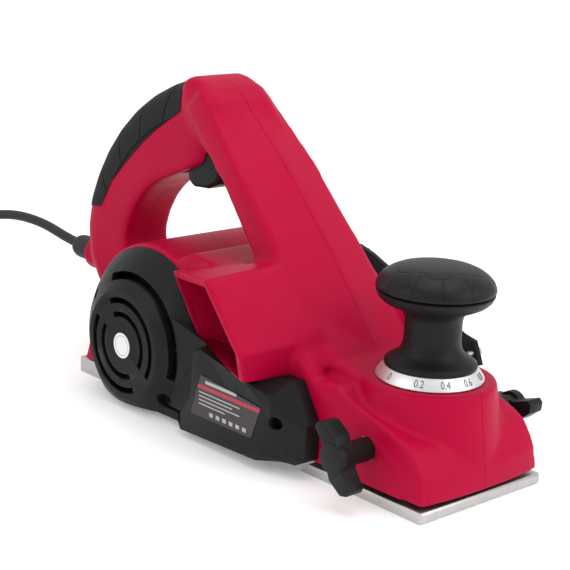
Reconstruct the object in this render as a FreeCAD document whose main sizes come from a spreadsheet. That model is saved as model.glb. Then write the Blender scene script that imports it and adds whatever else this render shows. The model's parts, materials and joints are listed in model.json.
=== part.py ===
"""Electric hand planer with an 82 mm cut, as an assembly of its separate pieces.

Millimetres. The origin is the middle of the sole, on the sole's plane. +X is the way it
planes, +Y is its left side and +Z is up. The belt and its cover are on the -Y side.
"""
import FreeCAD, Part, Sketcher
import math
import os
import re

from FreeCAD import Placement, Rotation
from FreeCAD import Vector as V

# ---------------------------------------------------------------- driving dimensions
DIMENSIONS = {
    "sole_length": 290.0, "sole_width": 91.5, "sole_depth": 9.4,
    "shoe_length": 88.0, "shoe_depth": 6.0,
    "body_half": 46.0, "wall": 2.8,
    "drum_x": 40.0, "drum_z": 24.5, "drum_radius": 22.4, "drum_half": 41.0,
    "blade_radius": 24.4, "shaft_radius": 5.0,
    "motor_x": -75.5, "motor_z": 38.3, "barrel_radius": 57.0,
    "motor_pulley_radius": 7.0, "drum_pulley_radius": 11.2,
    "belt_low": -56.2, "belt_high": -48.2, "belt_depth": 2.2,
    "cover_face": -66.0,
    "knob_x": 103.1, "deck_z": 57.5,
    "shoe_lift": 2.0, "running": 0.05, "gap": 0.35,
    "wing_x": 105.0, "wing_z": 28.0,
    "cord_diameter": 6.5, "cord_z": 60.4,
}

doc = FreeCAD.newDocument("hand_planer")
sheet = doc.addObject("Spreadsheet::Sheet", "Dims")
for row, (alias, amount) in enumerate(DIMENSIONS.items(), start=1):
    sheet.set(f"A{row}", alias)
    sheet.set(f"B{row}", str(amount))
    sheet.setAlias(f"B{row}", alias)
doc.recompute()
dim = {alias: float(getattr(sheet, alias)) for alias in DIMENSIONS}
subparts = []


def bound(size):
    """A size as an expression on the sheet's cells."""
    return re.sub(r"[a-z]\w+", lambda word: "Dims." + word.group(), str(size))


def amount_of(size):
    """What a size, a number or words of the sheet's aliases, comes to."""
    return float(sheet.evalExpression(size)) if isinstance(size, str) else float(size)


def keep(thing, label):
    thing.Label = label
    subparts.append(thing)
    return thing


def placed(x=0.0, y=0.0, z=0.0, along=(0, 0, 1)):
    return Placement(V(x, y, z), Rotation(V(0, 0, 1), V(*along)))


# ---------------------------------------------------------------- PartDesign pieces
def new_body(label, plane_role, outline):
    """A body with one closed sketch of straight edges, each corner tied to the sheet."""
    body = doc.addObject("PartDesign::Body", "Body")
    plane = [part for part in body.Origin.OriginFeatures if part.Role == plane_role][0]
    sketch = body.newObject("Sketcher::SketchObject", "Sketch")
    sketch.AttachmentSupport = (plane, [""])
    sketch.MapMode = "FlatFace"
    corners = [(amount_of(u), amount_of(v)) for u, v in outline]
    count = len(corners)
    for i, (u, v) in enumerate(corners):
        u2, v2 = corners[(i + 1) % count]
        sketch.addGeometry(Part.LineSegment(V(u, v, 0), V(u2, v2, 0)), False)
    for i in range(count):
        sketch.addConstraint(Sketcher.Constraint("Coincident", i, 2, (i + 1) % count, 1))
    for i, corner in enumerate(outline):
        for kind, size in zip(("DistanceX", "DistanceY"), corner):
            tie = sketch.addConstraint(
                Sketcher.Constraint(kind, -1, 1, i, 1, amount_of(size)))
            if isinstance(size, str):
                sketch.setExpression(f"Constraints[{tie}]", bound(size))
    return keep(body, label), sketch


def turned(label, outline, where):
    """A piece turned about its own Z axis from (radius, height) corners."""
    body, sketch = new_body(label, "XZ_Plane", outline)
    turn = body.newObject("PartDesign::Revolution", "Turn")
    turn.Profile = sketch
    turn.ReferenceAxis = (sketch, ["V_Axis"])
    turn.Angle = 360
    body.Placement = where
    return body


def shaped(label, shape):
    """A piece whose shape is worked out below from the sheet's values."""
    piece = doc.addObject("Part::Feature", "Piece")
    piece.Shape = shape
    return keep(piece, label)


# ---------------------------------------------------------------- shape helpers
def outline(start, *steps):
    """A closed XZ wire. Two numbers are a straight edge's end; four are an arc's middle and end."""
    edges, here = [], start
    for step in steps + (start,):
        there = step[-2:]
        first, last = V(here[0], 0, here[1]), V(there[0], 0, there[1])
        if first.distanceToPoint(last) < 1e-6:
            continue
        if len(step) == 2:
            edges.append(Part.makeLine(first, last))
        else:
            edges.append(Part.Arc(first, V(step[0], 0, step[1]), last).toShape())
        here = there
    return Part.Wire(edges)


def slab(wire, low, high, inset=0.0, bevel=0.0):
    """The wire's inside from Y low to Y high, drawn in by the inset, with bevelled rims."""
    face = Part.Face(wire)
    if inset:
        face = face.makeOffset2D(-inset)
    middle = face.translated(V(0, low + bevel, 0)).extrude(V(0, high - low - 2 * bevel, 0))
    if not bevel:
        return middle
    small = face.makeOffset2D(-bevel)
    rims = [Part.makeLoft([face.OuterWire.translated(V(0, wide, 0)),
                           small.OuterWire.translated(V(0, narrow, 0))], True, True)
            for wide, narrow in ((low + bevel, low), (high - bevel, high))]
    return middle.fuse(rims)


def rod(radius, low, high, x, z):
    """A cylinder along Y."""
    return Part.makeCylinder(radius, high - low, V(x, low, z), V(0, 1, 0))


def post(radius, low, high, x, y=0.0):
    """A cylinder along Z."""
    return Part.makeCylinder(radius, high - low, V(x, y, low), V(0, 0, 1))


def block(x, y, z):
    """A box from three (low, high) pairs."""
    return Part.makeBox(x[1] - x[0], y[1] - y[0], z[1] - z[0], V(x[0], y[0], z[0]))


def polygon(points):
    return Part.makePolygon([V(*point) for point in points] + [V(*points[0])])


def ruled(first, second):
    return Part.makeLoft([polygon(first), polygon(second)], True, True)


def fused(shapes):
    whole = shapes[0].fuse(list(shapes[1:]))
    return whole.removeSplitter()


# ---------------------------------------------------------------- sole and castings
sole_back = -dim["sole_length"] / 2
sole_front = dim["sole_length"] / 2
sole_side = dim["sole_width"] / 2
shoe_back = sole_front - dim["shoe_length"]
throat_radius = dim["blade_radius"] + 1.0
cheek_in, cheek_out = 41.3, 43.95
bearing_radius, bearing_in, bearing_out = 9.5, 37.5, 43.5
bridge_low, bridge_high, bridge_end = 35.0, 39.0, 112.0


BASE_SCREWS = [(x, y) for x in (-128, -20) for y in (-38.5, 38.5)]


def base_casting():
    """The rear sole with two cheeks for the drum's bearings and a bridge over the front shoe."""
    sole = block((sole_back, dim["drum_x"]), (-sole_side, sole_side), (0, dim["sole_depth"]))
    web = block((2, 14), (-cheek_in, cheek_in), (dim["sole_depth"], 24))
    shapes = [sole, web]
    for side in (-1, 1):
        inner, outer = sorted((side * cheek_in, side * cheek_out))
        cheek = outline((2, dim["sole_depth"]), (2, 36), (22, 51), (70, 51), (74, bridge_high),
                        (bridge_end, bridge_high), (bridge_end, bridge_low), (84, bridge_low),
                        (74, 30), (74, 11.2), (56, 11.2), (46, dim["sole_depth"]))
        shapes.append(slab(cheek, inner, outer))
        boss = sorted((side * bearing_in, side * cheek_out))
        shapes.append(rod(bearing_radius + 2.2, *boss, dim["drum_x"], dim["drum_z"]))
    shapes.append(block((76, bridge_end), (-cheek_in, cheek_in), (bridge_low, bridge_high)))
    shapes.append(post(8.5, bridge_high, 46, dim["knob_x"]))
    casting = fused(shapes)
    throat = rod(throat_radius, -bearing_in + 0.2, bearing_in - 0.2, dim["drum_x"], dim["drum_z"])
    drum_room = rod(throat_radius, -cheek_in, cheek_in, dim["drum_x"], dim["drum_z"])
    for side in (-1, 1):
        boss = sorted((side * bearing_in, side * (cheek_out + 1)))
        drum_room = drum_room.cut(rod(bearing_radius + 2.2, *boss, dim["drum_x"], dim["drum_z"]))
        casting = casting.cut(rod(bearing_radius, *boss, dim["drum_x"], dim["drum_z"]))
    bottom = block((20, 50), (-50, 50), (-1, dim["sole_depth"] + 0.01))
    bottom = bottom.common(rod(throat_radius, -50, 50, dim["drum_x"], dim["drum_z"]))
    casting = casting.cut([throat, drum_room, bottom, post(6.05, 30, 60, dim["knob_x"])])
    for x, y in BASE_SCREWS:
        casting = casting.cut([post(2.1, -1, 12, x, y),
                               Part.makeCone(4.2, 2.1, 2.1, V(x, y, 0))])
    return casting.removeSplitter()


shaped("base_casting", base_casting())

shoe = slab(outline((shoe_back, 0), (sole_front - 1, 0), (sole_front, 1), (sole_front, 5),
                    (sole_front - 1, 6), (shoe_back + 6.4, 6)), -sole_side, sole_side)
lip = slab(outline((shoe_back + 6.4, 6), (shoe_back + 9, 8.4), (shoe_back + 10, 8.4),
                   (shoe_back + 12, 6)), -40.9, 40.9)
shoe = fused([shoe, lip, post(9, 6, 15, dim["knob_x"])] + [
    block((82, 118), sorted((side * 34, side * 37)), (6, 24)) for side in (-1, 1)])
shaped("front_shoe", shoe.cut(post(4 + dim["running"], -1, 16, dim["knob_x"])))

turned("depth_spindle",
       [(0, 2.5), (4, 2.5), (4, 32), (8, 32), (8, 34.7), (6, 34.7), (6, 62), (2.4, 62),
        (2.4, 48), (0, 48)],
       placed(dim["knob_x"]))

SPRING_LOW, SPRING_HIGH = 15.0, 31.6


def coil(radius, wire_radius, low, high, turns, x, y=0.0):
    """A spring as an eight-sided wire wound round a vertical axis, 16 sections to a turn."""
    rise = high - low - 2 * wire_radius
    sections = []
    for step in range(16 * turns + 1):
        angle = math.tau * step / 16
        height = low + wire_radius + rise * step / (16 * turns)
        corners = []
        for side in range(8):
            round_wire = math.tau * (side + 0.5) / 8
            reach = radius + wire_radius * math.cos(round_wire)
            corners.append((x + reach * math.cos(angle), y + reach * math.sin(angle),
                            height + wire_radius * math.sin(round_wire)))
        sections.append(polygon(corners))
    return Part.makeLoft(sections, True, True)


shaped("shoe_spring", coil(6.6, 0.9, SPRING_LOW, SPRING_HIGH, 4, dim["knob_x"]))

# ---------------------------------------------------------------- cutter drum
drum_at = placed(dim["drum_x"], 0, dim["drum_z"], (0, 1, 0))
motor_at = placed(dim["motor_x"], 0, dim["motor_z"], (0, 1, 0))
turned("drum_shaft", [(0, -60), ("shaft_radius", -60), ("shaft_radius", 43.5), (0, 43.5)],
       drum_at)


def around_drum(shape, angle):
    turned_shape = shape.copy()
    turned_shape.rotate(V(dim["drum_x"], 0, dim["drum_z"]), V(0, 1, 0), angle)
    return turned_shape


recess_radius = bearing_radius + 2.2 + 0.6
drum_body = rod(dim["drum_radius"], -dim["drum_half"], dim["drum_half"],
                dim["drum_x"], dim["drum_z"])
drum_body = drum_body.cut(
    [rod(dim["shaft_radius"], -50, 50, dim["drum_x"], dim["drum_z"]),
     rod(recess_radius, -50, -bearing_in + 0.5, dim["drum_x"], dim["drum_z"]),
     rod(recess_radius, bearing_in - 0.5, 50, dim["drum_x"], dim["drum_z"])])
pocket_top = dim["drum_z"] + dim["drum_radius"] + 1
gullet = block((dim["drum_x"] - 5, dim["drum_x"] + 7), (-50, 50),
               (dim["drum_z"] + 14.5, pocket_top))
drum_body = drum_body.cut([gullet, around_drum(gullet, 180)])
shaped("cutter_drum", drum_body)
blade = block((dim["drum_x"] + 3.6, dim["drum_x"] + 4.8), (-dim["drum_half"], dim["drum_half"]),
              (dim["drum_z"] + 14.5, dim["drum_z"] + 23.9))
shaped("planer_blades", Part.makeCompound([blade, around_drum(blade, 180)]))
clamp = block((dim["drum_x"] - 4.8, dim["drum_x"] + 3.6),
              (-dim["drum_half"], dim["drum_half"]), (dim["drum_z"] + 14.5, dim["drum_z"] + 21))
clamp_screws = []
clamp_holes = []
for y in (-28, 0, 28):
    clamp_holes.append(post(2.6, dim["drum_z"] + 14, dim["drum_z"] + 22, dim["drum_x"] - 1, y))
    clamp_screws.append(post(2.5, dim["drum_z"] + 14.5, dim["drum_z"] + 21.2,
                             dim["drum_x"] - 1, y))
clamp = clamp.cut(clamp_holes)
shaped("blade_clamps", Part.makeCompound([clamp, around_drum(clamp, 180)]))
shaped("blade_clamp_screws", Part.makeCompound(
    [around_drum(screw, angle) for angle in (0, 180) for screw in clamp_screws]))
for side, name in ((-1, "right"), (1, "left")):
    low, high = sorted((side * bearing_in, side * bearing_out))
    turned(f"drum_bearing_{name}", [("shaft_radius + running", low), (bearing_radius, low),
                                    (bearing_radius, high), ("shaft_radius + running", high)],
           drum_at)

# ---------------------------------------------------------------- belt drive
turned("drum_pulley",
       [("shaft_radius", "belt_low - 1.2"), ("drum_pulley_radius + 1.2", "belt_low - 1.2"),
        ("drum_pulley_radius + 1.2", "belt_low - gap"), ("drum_pulley_radius", "belt_low - gap"),
        ("drum_pulley_radius", "belt_high + gap"),
        ("drum_pulley_radius + 1.2", "belt_high + gap"),
        ("drum_pulley_radius + 1.2", "belt_high + 1.2"), ("shaft_radius", "belt_high + 1.2")],
       drum_at)
turned("motor_pulley",
       [(4, "belt_low - 1.2"), ("motor_pulley_radius + 1.2", "belt_low - 1.2"),
        ("motor_pulley_radius + 1.2", "belt_low - gap"),
        ("motor_pulley_radius", "belt_low - gap"), ("motor_pulley_radius", "belt_high + gap"),
        ("motor_pulley_radius + 1.2", "belt_high + gap"),
        ("motor_pulley_radius + 1.2", "belt_high + 1.2"), (4, "belt_high + 1.2")],
       motor_at)


def belt_loop(extra):
    """The outline round both pulleys, this far outside them."""
    small, large = dim["motor_pulley_radius"] + extra, dim["drum_pulley_radius"] + extra
    run = V(dim["drum_x"] - dim["motor_x"], 0, dim["drum_z"] - dim["motor_z"])
    tilt = math.atan2(run.z, run.x)
    lean = math.acos((small - large) / run.Length)
    corners = []
    for centre, radius, angle in (
            (V(dim["motor_x"], 0, dim["motor_z"]), small, lean),
            (V(dim["motor_x"], 0, dim["motor_z"]), small, math.pi),
            (V(dim["motor_x"], 0, dim["motor_z"]), small, -lean),
            (V(dim["drum_x"], 0, dim["drum_z"]), large, -lean),
            (V(dim["drum_x"], 0, dim["drum_z"]), large, 0),
            (V(dim["drum_x"], 0, dim["drum_z"]), large, lean)):
        corners.append((centre.x + radius * math.cos(tilt + angle),
                        centre.z + radius * math.sin(tilt + angle)))
    top_small, far_small, low_small, low_large, far_large, top_large = corners
    return outline(top_small, far_small + low_small, low_large, far_large + top_large)


belt = slab(belt_loop(dim["gap"] + dim["belt_depth"]), dim["belt_low"], dim["belt_high"])
shaped("drive_belt", belt.cut(slab(belt_loop(dim["gap"]), dim["belt_low"] - 1,
                                   dim["belt_high"] + 1)))

# ---------------------------------------------------------------- motor
turned("motor_shaft", [(0, -60), (4, -60), (4, 42.6), (0, 42.6)], motor_at)
turned("cooling_fan", [(4, -34), (11, -34), (11, -31), (28, -31), (28, -29.5), (13, -29.5),
                       (12, -22.5), (4, -22.5)], motor_at)
fan_blades = [block((dim["motor_x"] + 14, dim["motor_x"] + 27.6), (-29.5, -23), (
    dim["motor_z"] - 0.7, dim["motor_z"] + 0.7)) for _ in range(12)]
for number, fin in enumerate(fan_blades):
    fin.rotate(V(dim["motor_x"], 0, dim["motor_z"]), V(0, 1, 0), 30 * number)
shaped("fan_blades", Part.makeCompound(fan_blades))
turned("armature", [(4, -19), (17.5, -19), (17.5, 21), (4, 21)], motor_at)
turned("commutator", [(4, 24), (11, 24), (11, 35), (4, 35)], motor_at)
turned("stator_core", [(18.3, -17), (28.5, -17), (28.5, 19), (18.3, 19)], motor_at)
winding = rod(27, -22, 24, dim["motor_x"], dim["motor_z"]).cut(
    [rod(19.5, -23, 25, dim["motor_x"], dim["motor_z"]),
     block((-120, -20), (-17.0, 19.0), (-20, 90))])
shaped("field_coils", winding.cut(
    [block((-120, -20), (-30, 30), (dim["motor_z"] - 4, dim["motor_z"] + 4))]))
turned("motor_bearing_front", [("4 + running", -42.5), (9.5, -42.5), (9.5, -36.5),
                               ("4 + running", -36.5)], motor_at)
turned("motor_bearing_rear", [("4 + running", 37.5), (8, 37.5), (8, 42.5),
                              ("4 + running", 42.5)], motor_at)
above_sole = block((-200, 100), (-60, 60), (dim["sole_depth"] + 0.4, 200))
inside_barrel = dim["barrel_radius"] - dim["wall"] - 0.3


def motor_disc(low, high, hole):
    """A plate across the motor's barrel, standing clear of the sole."""
    disc = rod(inside_barrel, low, high, dim["motor_x"], dim["motor_z"]).common(above_sole)
    bosses = [rod(4.6, low - 1, high + 1, x, z) for x, z in ((-134, 52), (-28, 20))]
    bosses += [post(5.6, 0, 34.4, x, -38.5) for x in (-128, -20)]
    return disc.cut([rod(hole, low - 1, high + 1, dim["motor_x"], dim["motor_z"])] + bosses)


bracket = motor_disc(-43, -40.5, 9.5).fuse(
    rod(12.5, -41, -36.5, dim["motor_x"], dim["motor_z"]).cut(
        rod(9.5, -50, -30, dim["motor_x"], dim["motor_z"])))
shaped("motor_bracket", bracket)
arch_foot = block((-200, 100), (-60, 60), (13, 200))
shaped("air_baffle", motor_disc(-31, -29.5, 28.5).common(arch_foot))


def motor_sides(make):
    """The same piece above and below the motor's axis."""
    return Part.makeCompound([make(1), make(-1)])


def radial(side, low, high, across, y):
    z = sorted((dim["motor_z"] + side * low, dim["motor_z"] + side * high))
    return block((dim["motor_x"] - across, dim["motor_x"] + across), y, z)


shaped("carbon_brushes", motor_sides(lambda side: radial(side, 11.35, 20, 3, (26.5, 32.5))))
shaped("brush_holders", motor_sides(
    lambda side: radial(side, 13, 28.4, 4.5, (25, 34)).cut(radial(side, 12, 27.7, 3.05,
                                                                 (26.45, 32.55)))))


def brush_spring(side):
    spring = coil(2.0, 0.35, 0, 7.3, 6, 0)
    spring.rotate(V(0, 0, 0), V(1, 0, 0), 0 if side > 0 else 180)
    spring.translate(V(dim["motor_x"], 29.5, dim["motor_z"] + side * 20.2))
    return spring


shaped("brush_springs", motor_sides(brush_spring))

# ---------------------------------------------------------------- housing
HANDLE_HALF, PILLAR_HALF, SHELF = 17.5, 21.0, 9.5
handle_outer = outline((-60, 168), (-78, 191), (-104, 182.5), (-157, 145, -182.5, 101),
                       (-186, 82), (-183, 62), (-172, 45), (-140, 33), (-96, 60))
finger_hole = outline((-4, 103), (-45, 146), (-58, 146), (-100, 128), (-130, 107, -140.5, 84),
                      (-138, 72), (-116, 82), (-86, 93), (-66, 96.5))
pillar_top = outline((-20, 146), (-44, 172), (-60, 186.5, -80, 191.5), (-103, 182.5),
                     (-94, 150), (-45, 146))
# Sections across the bridge from the handle down to the dial: how far along it (from top to
# foot), the ridge's height above its slope, the half width, and the shoulders' and the
# back's heights.
BRIDGE = [(-176, 87.5, 23, 85, 68), (-120, 94.6, 30, 88, 72.5), (-60, 94, 32, 90, 66),
          (0, 89, 32, 85, 30)]
mid_body = outline((-140, 9.5), (56, 9.5), (57, 8.3), (146.5, 8.3), (145, 20), (141, 27.5),
                   (136, 34), (130, 37), (118, 41), (92, 47), (77, 60), (68, 74), (36, 110),
                   (-12, 108), (-44, 97), (-100, 60), (-134, 30))
shoulders = [(-46, 0), (-46, 76), (-31, 112), (31, 112), (46, 76), (46, 0)]


def bridge_section(station, ridge, half, shoulder, back, inset):
    """A five-sided section square to the bridge's 45 degree slope."""
    half -= inset
    return [((height + station) / math.sqrt(2), y, (height - station) / math.sqrt(2))
            for y, height in ((0, ridge - inset), (half, shoulder - inset), (half, back + inset),
                              (-half, back + inset), (-half, shoulder - inset))]


def housing_block(inset):
    """The whole outside of the two housing halves, drawn in by the inset."""
    half = dim["body_half"] - inset
    grip_bevel, pillar_bevel = 7.0, 6.0
    handle = slab(handle_outer, -HANDLE_HALF + inset, HANDLE_HALF - inset, inset, grip_bevel)
    column = slab(pillar_top, -PILLAR_HALF + inset, PILLAR_HALF - inset, inset, pillar_bevel)
    sections = [bridge_section(*values, inset) for values in BRIDGE]
    bridge = [ruled(upper, lower) for upper, lower in zip(sections, sections[1:])]
    hollow = slab(finger_hole, -60, 60, -inset)
    middle = slab(mid_body, -half, half, inset)
    roof = Part.Face(polygon([(-200, y, z) for y, z in shoulders])).makeOffset2D(-inset)
    middle = middle.common(roof.extrude(V(400, 0, 0)))
    barrel = rod(dim["barrel_radius"] - inset, -half, half, dim["motor_x"], dim["motor_z"])
    barrel = barrel.common(block((-200, 100), (-60, 60), (SHELF, 200)))
    boss = Part.makeCone(43.3 - inset, 35.5 - inset, dim["deck_z"] - inset - 9,
                         V(dim["knob_x"], 0, 9))
    gland = Part.makeCylinder(11 - inset, 26, V(-193 + inset, 0, dim["cord_z"]), V(1, 0, 0))
    upper = handle.fuse([column]).cut(hollow).fuse(bridge)
    whole = upper.fuse([middle, barrel, boss, gland])
    return whole.cut(post(28.9 + inset, dim["deck_z"] - inset, 90, dim["knob_x"]))


rim_corners = [(-41, -58, 90), (11, -78, 99), (41, -78, 65), (38, -72, 48.4), (-19.3, -54.2, 52.6)]
rim_normal = (V(*rim_corners[1]) - V(*rim_corners[0])).cross(
    V(*rim_corners[2]) - V(*rim_corners[0])).normalize()
rim = [tuple(V(*corner).projectToPlane(V(*rim_corners[0]), rim_normal))
       for corner in rim_corners]
OUTWARD = tuple(rim_normal * -1 if rim_normal.y > 0 else rim_normal)
root = [(-30, -30, 94), (24, -30, 105.5), (58, -30, 73), (50, -30, 52), (-10, -30, 54)]


def drawn_in(points, factor, shift):
    """The same polygon, smaller about its middle and moved."""
    middle = [sum(axis) / len(points) for axis in zip(*points)]
    return [tuple(m + (p - m) * factor + s for p, m, s in zip(point, middle, shift))
            for point in points]


chute = ruled(rim, root)
duct = ruled(drawn_in(rim, 0.86, [2 * part for part in OUTWARD]), drawn_in(root, 0.86, (0, 8, 0)))

outer, inner = housing_block(0.0), housing_block(dim["wall"])
shell_openings = [
    block((-137, 137), (-41.3, 41.3), (0, 14)),
    block((0, 74.5), (-44, 44), (0, 53)),
    block((74, 112.5), (-44, 44), (0, 39.3)),
    rod(46, -50, -40, dim["motor_x"], dim["motor_z"]).common(
        block((-200, 100), (-60, 0), (13, 200))),
    rod(20, -50, -40, dim["drum_x"], dim["drum_z"]),
    post(12, 40, 70, dim["knob_x"]),
    block((-91.5, -56.5), (-12.6, 12.6), (118, 155)),
    Part.makeCylinder(7.8, 30, V(-200, 0, dim["cord_z"]), V(1, 0, 0)),
    Part.makeCylinder(9.3, 4.2, V(-187, 0, dim["cord_z"]), V(1, 0, 0)),
    rod(6.3, 40, 50, dim["wing_x"], dim["wing_z"]),
    rod(6.3, -50, -40, dim["wing_x"], dim["wing_z"]),
    rod(5.3, 10, 25, -84, 158),
    slab(outline((10, 56), (58, 56), (58, 72), (40, 82), (10, 82)), 40, 50),
]
for number in range(7):
    slot = block((-4, 4), (38, 50), (24, 40))
    slot.rotate(V(0, 0, 0), V(0, 1, 0), 45 * number)
    slot.translate(V(dim["motor_x"], 0, dim["motor_z"]))
    shell_openings.append(slot.common(block((-200, 100), (-60, 60), (14, 200))))

SCREW_PLACES = [(-164, 104), (-134, 138), (-56, 170), (-12, 124), (-134, 52), (-28, 20),
                (124, 24)]
bosses, screw_holes, screws = [], [], []
for x, z in SCREW_PLACES:
    bosses.append(rod(4.2, -44.5, 44.5, x, z).common(outer))
    screw_holes += [rod(1.6, -10, 60, x, z), rod(3.2, 9.45, 60, x, z)]
    screws.append(rod(1.55, -9.5, 9.5, x, z).fuse(rod(3.1, 9.5, 12, x, z)))
ADAPTER_SCREWS = [(92.4, 58.6), (4.2, 95.6)]
screw_holes += [rod(1.6, 40, 60, x, z) for x, z in ADAPTER_SCREWS]
COVER_SCREWS = [(56, 30.3), (-42.5, 13), (-112, 61)]
screw_holes += [rod(1.6, -60, -40, x, z) for x, z in COVER_SCREWS]
for x, y in BASE_SCREWS:
    bosses.append(post(5.2, dim["sole_depth"] + 0.1, 34, x, y).common(outer))
    screw_holes.append(post(1.6, 0, 30, x, y))


def grip_region(low, high):
    """The rubber on the back of the handle, down to the line where it meets the plastic."""
    skin = slab(handle_outer, -HANDLE_HALF - 0.5, HANDLE_HALF + 0.5, -0.5, 7)
    core = slab(handle_outer, -HANDLE_HALF + 2.2, HANDLE_HALF - 2.2, 2.2, 7)
    region = outline((-88, 195), (-88, 169), (-110, 155.5), (-127, 142, -154, 116),
                     (-165, 98), (-200, 94), (-200, 195))
    rubber = skin.cut(core).common(slab(region, -30, 30))
    return rubber.common(block((-220, 0), (low, high), (0, 220)))


grips = {"right": grip_region(-30, 0), "left": grip_region(0, 30)}
hollow_inside = inner.fuse(duct)
for name, low, high in (("right", -100, 0), ("left", 0, 100)):
    side = block((-260, 200), (low, high), (-10, 220))
    shell = outer.common(side)
    if name == "right":
        shell = shell.fuse(chute)
        shell = shell.cut(hollow_inside)
    else:
        shell = shell.cut(inner)
    shell = shell.cut(shell_openings).fuse([boss.common(side) for boss in bosses])
    shell = shell.cut(screw_holes).cut(grips[name])
    shaped(f"housing_{name}", shell)
for name, grip in grips.items():
    shaped(f"grip_{name}", grip)
divider = slab(outline((-28, 54), (64, 54), (64, 74), (34, 108), (-28, 106)), -1.2, 1.2)
shaped("chip_divider", divider.common(inner))
shaped("housing_screws", Part.makeCompound(screws))

base_screws = [post(1.55, 2, 24, x, y).fuse(Part.makeCone(4.1, 1.55, 2.5, V(x, y, 0.1)))
               for x, y in BASE_SCREWS]
shaped("base_screws", Part.makeCompound(base_screws))

# ---------------------------------------------------------------- belt cover
cover_dome = [(0, 0), (32, 0), (37.5, 4), (42.5, 7), (50, 14), (55, 20), (0, 20)]
plate_foot = [(-40, 3.6), (56, 6.8), (63, 7.2), (70.4, 11), (71, 31), (57.5, 51.5), (43.5, 50.6),
              (-5, 57), (-13, 54), (-14, 28), (-24, 16)]
plate_face = [(-32, 4.2), (43, 6.2), (46.5, 10.8), (48.5, 17), (54, 34), (52.5, 44), (36, 47),
              (-5, 54.6), (-11, 51), (-12, 26), (-20, 14)]
tunnel = [(-62, 3.2), (0, 5.4), (0, 56), (-13, 57), (-36, 62), (-62, 60)]
COVER_RIM = -9.5


def cover_block(inset):
    """The belt cover's outside: a stepped dome over the motor pulley and a plate with
    bevelled ends over the belt and the drum pulley."""
    face_y = dim["cover_face"] + inset
    spin = [V(radius - inset * (radius > 0), 0, face_y + depth - inset * (depth == 20))
            for radius, depth in cover_dome]
    dome = Part.Face(Part.makePolygon(spin + spin[:1])).revolve(V(0, 0, 0), V(0, 0, 1), 360)
    dome.Placement = Placement(V(dim["motor_x"], 0, dim["motor_z"]),
                               Rotation(V(0, 0, 1), V(0, 1, 0)))
    foot = Part.Face(polygon([(x, 0, z) for x, z in plate_foot])).makeOffset2D(-inset)
    face = Part.Face(polygon([(x, 0, z) for x, z in plate_face])).makeOffset2D(-inset)
    plate = foot.translated(V(0, -dim["body_half"], 0)).extrude(V(0, COVER_RIM, 0))
    bevel = Part.makeLoft([foot.OuterWire.translated(V(0, -dim["body_half"] + COVER_RIM, 0)),
                           face.OuterWire.translated(V(0, face_y, 0))], True, True)
    low_web = Part.Face(polygon([(x, 0, z) for x, z in tunnel])).makeOffset2D(-inset)
    low_web = low_web.translated(V(0, -dim["body_half"], 0)).extrude(V(0, inset - 12.6, 0))
    above = outline((-200, 10 + inset), (-83, 2.8 + inset), (55, 6.6 + inset),
                    (200, 14 + inset), (200, 120), (-200, 120))
    return dome.fuse([plate, bevel, low_web]).common(slab(above, -100, 0))


def ring_slot(inner_radius, outer_radius, start, end):
    """A slot along an arc about the motor's axis, between two angles up from +X."""
    ring = rod(outer_radius, -80, -50, dim["motor_x"], dim["motor_z"]).cut(
        rod(inner_radius, -90, -40, dim["motor_x"], dim["motor_z"]))
    middle, reach = math.radians((start + end) / 2), math.radians((end - start) / 2)
    steps = 6
    points = [(dim["motor_x"], -90, dim["motor_z"])]
    for step in range(steps + 1):
        angle = middle - reach + 2 * reach * step / steps
        points.append((dim["motor_x"] + 70 * math.cos(angle), -90,
                       dim["motor_z"] + 70 * math.sin(angle)))
    return ring.common(Part.Face(polygon(points)).extrude(V(0, 60, 0)))


cover = cover_block(0).cut(cover_block(2.4))
cover = cover.cut([Part.Face(polygon([(x, 0, z) for x, z in corners])).makeOffset2D(-2.4)
                   .extrude(V(0, -4, 0)).translated(V(0, -dim["body_half"] + 2, 0))
                   for corners in (plate_foot, tunnel)])
for radius, depth in ((18.4, 3.2), (26.6, 3.4)):
    for start, end in ((-31, 117), (151, 295)):
        cover = cover.cut(ring_slot(radius - depth / 2, radius + depth / 2, start, end))
cover = cover.cut(ring_slot(38, 42.5, -16, 117))
cover_posts, cover_screws = [], []
for x, z in COVER_SCREWS:
    cover_posts.append(rod(2.8 if x > 0 else 6.0, -60, -46, x, z).common(cover_block(0)))
    cover_screws.append(rod(1.55, -57, -44, x, z).fuse(rod(3.2, -59, -56, x, z)))
cover = cover.fuse(cover_posts)
for x, z in COVER_SCREWS:
    cover = cover.cut([rod(1.6, -70, -40, x, z), rod(3.6 if x > 0 else 4.4, -70, -56, x, z)])
room_for_chute = ruled(drawn_in(rim, 1.0, (0, 0, -0.4)), drawn_in(root, 1.0, (0, 0, -0.4)))
cover = cover.cut([room_for_chute, room_for_chute.translated(V(0, 0, 5))])
solids = sorted(cover.Solids, key=lambda solid: solid.Volume)
shaped("belt_cover", solids[-1])
shaped("cover_screws", Part.makeCompound(cover_screws))
label_plate = slab(outline((-3, 41), (-11, 16.5), (39.5, 17.5), (47, 31)), -66.4, -66.0)
shaped("rating_label", label_plate)
shaped("cover_sticker", rod(7.5, -66.3, -66.0, dim["motor_x"], dim["motor_z"]))

# ---------------------------------------------------------------- dust adapter
flange_foot = [(0, 100), (11, 97), (84, 67), (92.6, 65.3), (98, 52.8), (60, 50), (8, 55)]
PORT, PORT_AXIS = V(-45, 74, 66), V(-0.62, 0.78, 0)
PORT_RADIUS, PORT_BORE, PORT_LENGTH = 20.0, 17.5, 22.0


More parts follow.
